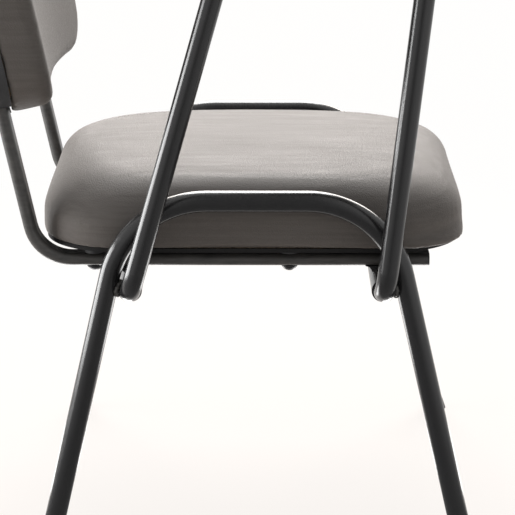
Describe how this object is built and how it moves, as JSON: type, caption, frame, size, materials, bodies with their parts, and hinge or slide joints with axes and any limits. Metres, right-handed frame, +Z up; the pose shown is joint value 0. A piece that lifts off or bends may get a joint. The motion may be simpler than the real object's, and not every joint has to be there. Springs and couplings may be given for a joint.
{
  "type": "tablet arm conference chair",
  "caption": "Stacking conference chair on bent tube leg arches, with upholstered seat and back and a folding writing tablet on a tube arm loop.",
  "frame": {"origin": "middle of the footprint on the floor, under the centre of the leg arches", "axes": "+Z up, the sitter faces -Y, the tablet arm is on the sitter's right at -X"},
  "size_m": [0.5828, 0.7266, 0.8378],
  "materials": {
    "frame_paint": "semi-gloss black powder coat",
    "upholstery": "grained leatherette, warm dark grey",
    "plywood": "raw birch plywood",
    "tablet_laminate": "dark grey laminate on board",
    "black_plastic": "moulded, fine grain",
    "nylon": "natural nylon",
    "zinc_steel": "zinc plated",
    "black_steel": "black oxide steel",
    "cast_black": "painted zinc casting"
  },
  "bodies": {
    "frame": {"arm_loop": "frame_paint", "arm_screws": "black_steel", "back_board": "plywood", "back_bolts": "black_steel", "back_cushion": "upholstery", "back_insert_nuts": "zinc_steel", "back_shell": "black_plastic", "back_shell_screws": "black_steel", "collar_grub_screws": "black_steel", "cross_tube_front": "frame_paint", "cross_tube_plug_front": "black_plastic", "cross_tube_plug_rear": "black_plastic", "cross_tube_rear": "frame_paint", "foot_glide_front_left": "black_plastic", "foot_glide_front_right": "black_plastic", "foot_glide_rear_left": "black_plastic", "foot_glide_rear_right": "black_plastic", "leg_arch_left": "frame_paint", "leg_arch_right": "frame_paint", "leg_welds": "frame_paint", "rail_plug_left": "black_plastic", "rail_plug_right": "black_plastic", "rail_saddles": "frame_paint", "seat_board": "plywood", "seat_bolts": "black_steel", "seat_cushion": "upholstery", "seat_insert_nuts": "zinc_steel", "seat_rail_left": "frame_paint", "seat_rail_right": "frame_paint", "seat_spacers": "black_plastic", "stop_collar_front": "cast_black", "stop_collar_rear": "cast_black"},
    "hinge": {"hinge_block": "cast_black", "hinge_cap": "cast_black", "hinge_cap_screws": "black_steel", "hinge_liners": "nylon", "friction_washer": "nylon", "swivel_stop_pin": "black_steel"},
    "tablet": {"tablet_plate": "frame_paint", "swivel_stud": "black_steel", "swivel_washer": "black_steel", "swivel_nut": "black_steel", "tablet_board": "tablet_laminate", "tablet_edge_band": "black_plastic", "tablet_plate_screws": "black_steel"}
  },
  "joints": [
    {"name": "tablet_flip", "type": "hinge", "parent": "frame", "child": "hinge", "pos_m": [-0.282, -0.075, 0.713], "axis": [0, -1, 0], "range_deg": [0, 90]},
    {"name": "tablet_swivel", "type": "hinge", "parent": "hinge", "child": "tablet", "pos_m": [-0.238, -0.075, 0.7346], "axis": [0, 0, -1], "range_deg": [0, 90]}
  ]
}
